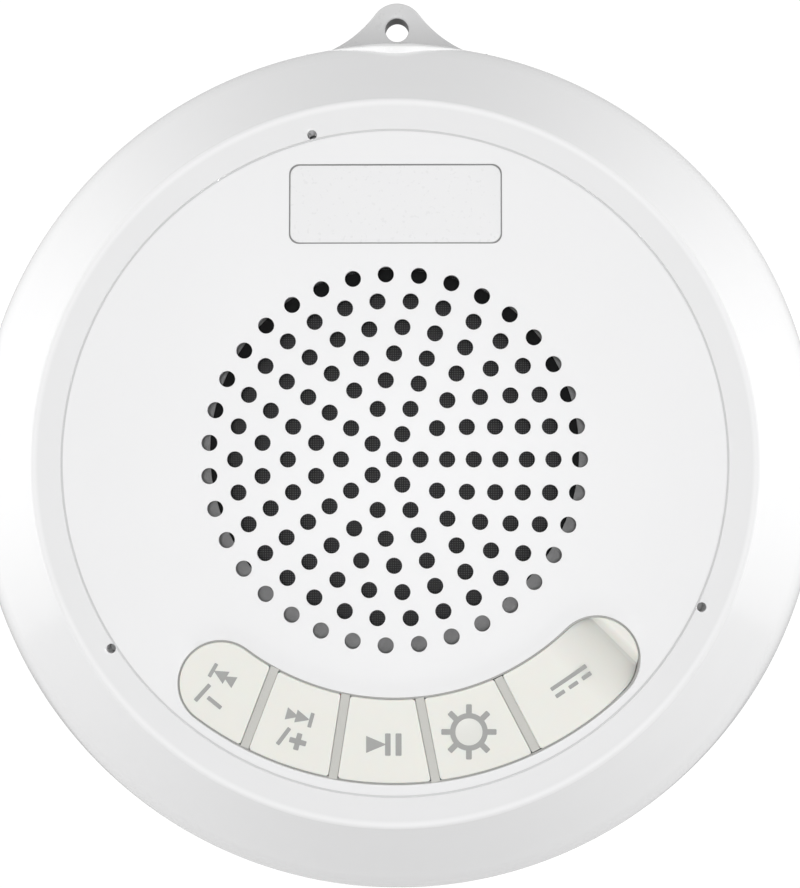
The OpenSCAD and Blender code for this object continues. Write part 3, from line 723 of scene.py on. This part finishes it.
COVER = 4
KEY_MIDDLE = [polar(BAND_MID, a) for a in (233.5, 250.0, 267.8, 286.4, 308.5)]


def contour(i, level, grow, n):
    """n points round key i's middle where its distance equals a level."""
    cx, cy = KEY_MIDDLE[i]
    pts = []
    for k in range(n):
        a = 2 * math.pi * k / n
        ux, uy = math.cos(a), math.sin(a)
        lo, hi = 0.0, 17.0
        for _ in range(34):
            mid = (lo + hi) / 2
            if key_distance(i, cx + ux * mid, cy + uy * mid, grow) > level:
                hi = mid
            else:
                lo = mid
        pts.append((cx + ux * lo, cy + uy * lo))
    return pts


def scoop(x, y):
    """Depth of the flap's thumb scoop: a long shallow dip that ends in a crease under the raised lip."""
    s = (x - CREASE[0]) * CREASE_DIR[0] + (y - CREASE[1]) * CREASE_DIR[1]
    fall = min(1.0, max(0.0, (s + 9.0) / 8.9))
    return 1.6 * fall ** 1.9 * (1 - smoothstep(-0.1, 1.5, s))


def key_mesh(i, n):
    """A key's cap with a softened edge and a slightly raised middle, or the cover with its scoop."""
    bottom, top, grow, soft = 30.6, KEY_TOP, -0.08, 0.22
    rings = [[(x, y, bottom) for x, y in contour(i, 0.0, grow, n)]]
    for a in (0, 20, 40, 60, 80, 90):
        t = math.radians(a)
        level = -soft * (1 - math.cos(t))
        rings.append([(x, y, top - soft * (1 - math.sin(t))) for x, y in contour(i, level, grow, n)])
    edge = rings[-1]
    cx, cy = KEY_MIDDLE[i]
    steps = 64 if i == COVER else 8
    for s in range(1, steps):
        t = 1 - s / steps
        rings.append([(cx + (x - cx) * t, cy + (y - cy) * t, top + 0.06 * (1 - t * t)) for x, y, z in edge])
    if i == COVER:
        rings = [[(x, y, z - (scoop(x, y) if z > top - 2 * soft else 0)) for x, y, z in ring]
                 for ring in rings]
    return loft(rings)


def turned(pts, cx, cy, deg):
    """Points turned about the origin, then moved to a centre."""
    c, s = math.cos(math.radians(deg)), math.sin(math.radians(deg))
    return [(cx + x * c - y * s, cy + x * s + y * c) for x, y in pts]


def bar(w, h, cx, cy, deg, r=0.12):
    """A round-cornered bar as an outline."""
    r = min(r, w / 2 - 0.01, h / 2 - 0.01)
    pts = []
    for qx, qy, a0 in ((1, 1, 0), (-1, 1, 90), (-1, -1, 180), (1, -1, 270)):
        for k in range(4):
            a = math.radians(a0 + 30 * k)
            pts.append((qx * (w / 2 - r) + r * math.cos(a), qy * (h / 2 - r) + r * math.sin(a)))
    return turned(pts, cx, cy, deg)


BODIES = ("volume_down", "volume_up", "play", "light", "flap")
NODES = ("volume_down_key", "volume_up_key", "play_key", "light_key", "port_flap")
HINGE_A = GROOVES[3][0]                  # the cover's hinge runs along the last groove
HINGE_SLOPE = sum(GROOVES[3])
STEM = ((0.0, 27.9), (1.9, 27.9), (2.15, 28.05), (2.2, 28.3), (2.2, 30.7), (0.0, 30.7))
# the rim beneath the cover that seals the socket's mouth: four walls, as x from, x to, y from, y to
PLUG_RIM = ((-5, 5, 1.6, 2.5), (-5, 5, -2.5, -1.6), (-5, -4.1, -1.6, 1.6), (4.1, 5, -1.6, 1.6))
for i in range(COVER):
    parts = [key_mesh(i, 160), revolve(STEM, 32, polar(BAND_MID, STEM_A[i]))]
    ob = new_object("key_cap_" + BODIES[i], *join(parts), KEYS, angle=40, domed=True)
    piece(ob, BODIES[i], "key_silicone", NODES[i])

parts = [key_mesh(COVER, 280)]
for x0, x1, y0, y1 in PLUG_RIM:
    wall = turned([(x0, y0), (x1, y0), (x1, y1), (x0, y1)], *polar(BAND_MID, SOCKET_A), SOCKET_A)
    parts.append(prism(wall, 29.7, 31.2))
neck = bar(11.4, 0.7, *polar(BAND_MID, HINGE_A + 1.0), HINGE_SLOPE, 0.1)
parts.append(prism(neck, KEY_TOP - 0.8, KEY_TOP - 0.5))
ob = new_object("cover_flap", *join(parts), FLAP, angle=40, domed=True)
piece(ob, BODIES[COVER], "key_silicone", NODES[COVER])

# the sunk strips in the grooves, darker than the keys as painted shade: three on the housing, and the last
# one on the cover
STRIP_TOP = KEY_TOP - 0.30
strips = [prism(bar(12.9, 1.34, *polar(42.2, a), a + turn, 0.05), 31.6, STRIP_TOP) for a, turn in GROOVES[:3]]
piece(new_object("groove_strips", *join(strips), STRIP, smooth=False, domed=True), "housing", "key_silicone")
strip = prism(bar(12.4, 1.3, *polar(42.25, HINGE_A), HINGE_SLOPE, 0.05), KEY_TOP - 0.75, STRIP_TOP)
piece(new_object("flap_strip", *strip, STRIP, smooth=False, domed=True), "flap", "key_silicone")


# ---------------------------------------------------------------- key markings
def tri(base_x, half, length, cx, cy, deg):
    """A triangle with its base at base_x and its point length away along x."""
    tip_x = base_x + length - (0.1 if length > 0 else -0.1)
    return turned([(base_x, -half), (tip_x, -0.08), (tip_x, 0.08), (base_x, half)], cx, cy, deg)


INK_ROOT, INK_TOP = KEY_TOP - 0.3, KEY_TOP + 0.07


def ink(name, outlines, body):
    """A marking from several outlines, standing a little above its key."""
    parts = [prism(o, INK_ROOT, INK_TOP) for o in outlines]
    piece(new_object(name, *join(parts), INK, smooth=False, domed=True), body, "key_silicone")


# previous track over volume down, and next track over volume up: each arrow pair is set from the middle
# of its bar, along the mark's own slope
px, py = -27.3, -31.4
ink("mark_previous", [bar(0.58, 2.3, px, py, -30), tri(2.3, 1.05, -2.1, px, py, -30),
                      tri(3.75, 0.95, -1.9, px, py, -30)], "volume_down")
ink("mark_minus", [bar(0.62, 3.3, -28.88, -34.8, -42), bar(2.6, 0.62, -27.08, -36.3, -39)], "volume_down")
nx, ny = -12.5, -38.88
ink("mark_next", [bar(0.58, 2.25, nx, ny, -15.5), tri(-3.85, 0.95, 1.9, nx, ny, -15.5),
                  tri(-2.35, 1.0, 2.1, nx, ny, -15.5)], "volume_up")
ink("mark_plus", [bar(0.62, 3.1, -16.65, -41.3, -37), bar(2.6, 0.8, -14.5, -42.12, -15.5),
                  bar(0.8, 2.6, -14.5, -42.12, -15.5)], "volume_up")
ink("mark_play", [tri(-4.2, 1.28, 2.95, 0, -42.5, 0), bar(0.84, 3.36, -0.94, -42.52, 0),
                  bar(0.9, 3.36, 0.67, -42.52, 0)], "play")

# a sun round the light key's window
sx, sy = 11.25, -40.6
SUN_IN, SUN_OUT = 2.04, 2.84
sun = [revolve([(SUN_IN, INK_ROOT), (SUN_OUT, INK_ROOT), (SUN_OUT, INK_TOP), (SUN_IN, INK_TOP)], 48,
               (sx, sy))]
for k in range(8):
    ux, uy = math.cos(math.pi * k / 4), math.sin(math.pi * k / 4)
    ray_bar = bar(1.5, 0.86, sx + ux * 3.4, sy + uy * 3.4, 45 * k, 0.15)
    sun.append(prism(ray_bar, INK_ROOT, INK_TOP + 0.001))
piece(new_object("mark_light", *join(sun), INK, smooth=False, domed=True), "light", "key_silicone")
lens = revolve([(0.0, INK_ROOT), (SUN_IN, INK_ROOT), (SUN_IN, KEY_TOP + 0.05), (1.6, KEY_TOP + 0.09),
                (0.0, KEY_TOP + 0.12)], 40, (sx, sy))
piece(new_object("light_key_window", *lens, LENS, domed=True), "light", "key_silicone")

# generic direct-current sign on the port cover: a bar over three dashes
qx, qy, qa = 26.6, -33.0, 34.0
dc = [bar(6.4, 0.6, *turned([(0, 0.65)], qx, qy, qa)[0], qa)]
for u in (-2.4, 0.0, 2.4):
    dc.append(bar(1.6, 0.6, *turned([(u, -0.65)], qx, qy, qa)[0], qa))
ink("mark_direct_current", dc, "flap")


# ---------------------------------------------------------------- front panel
def panel_disc():
    """The panel before its openings are cut, flat, with rings close enough to be shaped afterwards."""
    rim = SEAM_R - 0.12
    prof = [(rim, PANEL_BACK), (rim, FACE - 0.08)]
    prof += arc(rim - 0.08, FACE - 0.08, 0.08, 0, 90, 4)[1:]
    radii = [49.9 - 0.5 * i for i in range(34)] + [33.0 - 1.5 * i for i in range(22)]
    prof += [(r, FACE) for r in radii if r > 0.4] + [(0.0, FACE)]
    prof += [(0.0, PANEL_BACK)] + [(r, PANEL_BACK) for r in (10, 20, 30, 40)]
    return new_object("panel_skin", *revolve(prof, 240), PANEL, smooth=False)


def band_outline(grow):
    """The key band's outline, grown outwards."""
    r = BAND_HALF + grow
    pts = arc(0, 0, BAND_R + r, BAND_A[0], BAND_A[1], 90)
    pts += arc(*polar(BAND_R, BAND_A[1]), r, BAND_A[1] + 5, BAND_A[1] + 175, 34)
    pts += arc(0, 0, BAND_R - r, BAND_A[1], BAND_A[0], 90)
    pts += arc(*polar(BAND_R, BAND_A[0]), r, BAND_A[0] + 185, BAND_A[0] + 355, 34)
    return [(x + BAND_C[0], y + BAND_C[1]) for x, y in pts]


def label_outline(inset):
    """The outline of the label's recess, drawn inwards."""
    w, h = LABEL_SIZE[0] / 2 - inset, LABEL_SIZE[1] / 2 - inset
    r = 1.5
    pts = []
    for qx, qy, a0 in ((1, 1, 0), (-1, 1, 90), (-1, -1, 180), (1, -1, 270)):
        for k in range(9):
            a = math.radians(a0 + 90 * k / 8)
            pts.append((LABEL_C[0] + qx * (w - r) + r * math.cos(a),
                        LABEL_C[1] + qy * (h - r) + r * math.sin(a)))
    return pts


def at_height(outline, z):
    return [(x, y, z) for x, y in outline]


panel = panel_disc()
grille = [(0.0, GRILLE_Y)]               # ring k has 5 k holes
for k in range(1, GRILLE_RINGS + 1):
    for i in range(5 * k):
        x, y = polar(GRILLE_PITCH * k, 72.0 * i / k)
        grille.append((x, y + GRILLE_Y))
hole_profile = [(0.0, PANEL_BACK - 1), (1.5, PANEL_BACK - 1), (1.26, FACE - 0.35), (1.22, FACE - 0.06),
                (1.24, FACE - 0.02), (1.28, FACE + 0.01), (1.28, FACE + 3), (0.0, FACE + 3)]
cutters = [revolve(hole_profile, 32, centre) for centre in grille]
cut(panel, new_object("grille_cutter", *join(cutters), PANEL, smooth=False))
# the key opening, with a rounded edge: the outline's growth at each height
band = loft([at_height(band_outline(grow), z) for grow, z in (
    (0.22, PANEL_BACK - 1), (0.22, FACE - 0.12), (0.25, FACE - 0.03), (0.31, FACE + 0.01), (0.31, FACE + 2))])
cut(panel, new_object("band_cutter", *band, PANEL, smooth=False))
recess = prism(label_outline(0.0), FACE - 0.4, FACE + 2)
cut(panel, new_object("label_cutter", *recess, PANEL, smooth=False))
# the face dips towards the key band from the inner side and rises to a lip on its outer side
BAND_DIP, BAND_LIP = 0.2, 0.12
for v in panel.data.vertices:
    x, y = v.co.x / MM, v.co.z / MM + HOLE_Z
    if -v.co.y / MM > FACE - 0.5:
        outer = smoothstep(BAND_R - 2, BAND_R + 5, math.hypot(x - BAND_C[0], y - BAND_C[1]))
        near = 1 - smoothstep(0.2, 2.9 - 1.1 * outer, band_distance(x, y))
        v.co.y += (BAND_DIP - (BAND_DIP + BAND_LIP) * outer) * near * MM
    v.co.y -= crown(x, y) * MM
shade(panel, 30)
piece(panel, "housing", "panel_white", "front_panel")

label = loft([at_height(label_outline(inset), z) for inset, z in (
    (0.2, FACE - 0.4), (0.2, FACE - 0.1), (0.26, FACE - 0.04))])
piece(new_object("face_label_film", *label, LABEL, angle=25, domed=True), "housing", "label_grey",
      "face_label")


def flat_ring(name, outer, inner, z0, z1, mat, domed=False):
    """A flat ring between two closed outlines of the same number of points."""
    n = len(outer)
    verts = [(x, y, z) for z in (z0, z1) for x, y in inner + outer]
    faces = []
    for k in range(n):
        j = (k + 1) % n
        faces += [(k, n + k, n + j, j), (2 * n + k, 2 * n + j, 3 * n + j, 3 * n + k),
                  (k, j, 2 * n + j, 2 * n + k), (n + k, 3 * n + k, 3 * n + j, n + j)]
    return new_object(name, verts, faces, mat, angle=30, domed=domed)


# painted shadow in the label's gap
piece(flat_ring("label_border", label_outline(0.02), label_outline(0.18), FACE - 0.36, FACE - 0.08, BORDER,
                domed=True), "housing", "label_grey")
# painted shade in the key band's gap
piece(flat_ring("band_gap_painted_shade", band_outline(0.21), band_outline(-0.04), 31.6, FACE - 0.36, BAND_GREY,
                domed=True), "housing", "key_silicone")
# painted shade in the seam
piece(flat_ring("seam_filler", circle(SEAM_R + 0.16, n=240), circle(SEAM_R - 0.115, n=240), FACE - 0.5,
                FACE - 0.09, FILLER), "housing", "seal_grey")
CLOTH_SOFT = 0.05
cloth_disc = revolve([(0.0, CLOTH_TOP - 0.35), (CLOTH_R - CLOTH_SOFT, CLOTH_TOP - 0.35),
                      (CLOTH_R, CLOTH_TOP - 0.30), (CLOTH_R, CLOTH_TOP - CLOTH_SOFT),
                      (CLOTH_R - CLOTH_SOFT, CLOTH_TOP), (0.0, CLOTH_TOP)], 128)
cloth = new_object("grille_cloth", *cloth_disc, CLOTH, angle=50)
piece(cloth, "housing", "cloth_black", "speaker_cloth")
# behind the outermost holes: a black ring on the cloth as painted shade, and the grey ring, set a little
# high, before it
piece(flat_ring("cloth_shade_ring", circle(29.5), circle(26.0, GRILLE_Y), CLOTH_TOP + 0.005, CLOTH_TOP + 0.025,
                BLACK), "housing", "cloth_black")
piece(flat_ring("grille_ring", circle(CLOTH_R), circle(28.2, GRILLE_Y + 1.3), CLOTH_TOP + 0.04,
                PANEL_BACK - 0.02, GREY_RING), "housing", "foam_grey", "cloth_ring")


# ---------------------------------------------------------------- floor, light, camera
def floor_disc(radius, height, mat):
    me = bpy.data.meshes.new("floor")
    ring = [(x, y, 0) for x, y in circle(radius, n=96)]
    me.from_pydata(ring, [], [tuple(range(len(ring)))])
    me.materials.append(mat)
    ob = bpy.data.objects.new("floor", me)
    ob.location = (0, 0, height)
    bpy.context.scene.collection.objects.link(ob)


floor_disc(0.9, -0.40, material("pale_floor", (0.88, 0.88, 0.88), 0.6, drift=0.01))

# one soft spot from straight ahead, metres
FACE_MIDDLE = Vector((0.0, -FACE * MM, -HOLE_Z * MM))
SPOT_DISTANCE, SPOT_REACH = 1.2, 0.085
spot = bpy.data.lights.new("soft_front", "SPOT")
spot.energy = 39.0
spot.spot_size = 2 * math.atan(SPOT_REACH / SPOT_DISTANCE)
spot.spot_blend = 1.0
spot.shadow_soft_size = 0.12
front = bpy.data.objects.new("soft_front", spot)
front.location = (0.0, -SPOT_DISTANCE, FACE_MIDDLE.z)
front.rotation_euler = (FACE_MIDDLE - front.location).to_track_quat("-Z", "Y").to_euler()
bpy.context.scene.collection.objects.link(front)

# Tall soft boxes on both sides, each reaching round to the front and the back, with weaker fills above,
# below and in front. Every one is a soft lobe of the world: direction to the right-hand one, strength,
# tightness. Each is there twice, mirrored.
LOBES = [((1.0, -0.25, 0.0), 0.57, 24.0), ((1.0, 0.0, 0.0), 1.41, 4.0), ((0.766, -0.643, 0.0), 0.49, 4.0),
         ((0.766, 0.643, 0.0), 0.52, 4.0), ((0.54, -0.64, 0.54), 0.58, 4.0), ((0.54, 0.64, 0.54), 0.50, 4.0),
         ((0.8, 0.0, 0.6), 0.18, 4.0), ((0.8, 0.0, -0.6), 0.17, 4.0), ((0.0, -1.0, 0.0), 0.085, 4.0)]
world = bpy.data.worlds.new("studio")
bpy.context.scene.world = world
world.use_nodes = True
wt = world.node_tree
wt.nodes.clear()


def world_node(kind, *inputs, **settings):
    """The outputs of a new world node, fed by sockets or plain values."""
    node = wt.nodes.new(kind)
    for key, value in settings.items():
        setattr(node, key, value)
    for i, value in enumerate(inputs):
        if hasattr(value, "is_output"):
            wt.links.new(value, node.inputs[i])
        else:
            node.inputs[i].default_value = value
    return node.outputs


ray = world_node("ShaderNodeTexCoord")["Generated"]


def lobe(direction, power):
    """Strongest along a direction, and zero at a right angle to it and beyond."""
    dot = world_node("ShaderNodeVectorMath", ray, Vector(direction).normalized(),
                     operation="DOT_PRODUCT")["Value"]
    facing = world_node("ShaderNodeMath", dot, 0.0, operation="MAXIMUM")[0]
    return world_node("ShaderNodeMath", facing, power, operation="POWER")[0]


total = None
for (x, y, z), strength, power in LOBES:
    for side in (1, -1):
        part = world_node("ShaderNodeMath", lobe((side * x, y, z), power), strength, operation="MULTIPLY")[0]
        total = part if total is None else world_node("ShaderNodeMath", total, part, operation="ADD")[0]
# The backdrop is white behind the object and pale grey on the other sides
backdrop = world_node("ShaderNodeMapRange", lobe((0, 1, 0), 1.0), 0.55, 0.88, 0.74, 1.05)[0]
lit = world_node("ShaderNodeBackground", (1, 1, 1, 1), total)[0]
seen = world_node("ShaderNodeBackground", (1, 1, 1, 1), backdrop)[0]
camera_ray = world_node("ShaderNodeLightPath")["Is Camera Ray"]
world_node("ShaderNodeOutputWorld", world_node("ShaderNodeMixShader", camera_ray, lit, seen)[0])
bpy.context.scene.view_settings.view_transform = "Standard"
bpy.context.scene.view_settings.look = "None"

# the photo's camera: a little below and to the right of the face's middle, turned back towards it
cam = bpy.data.cameras.new("camera")
cam.sensor_width = 36.0
cam.lens = 68.1
cam.clip_start = 0.01
camera = bpy.data.objects.new("camera", cam)
camera.location = (0.0039, -0.287, -(HOLE_Z + 3.2) * MM)
camera.rotation_euler = (math.radians(90 + 1.33), 0.0, math.radians(0.68))
bpy.context.scene.collection.objects.link(camera)
bpy.context.scene.camera = camera
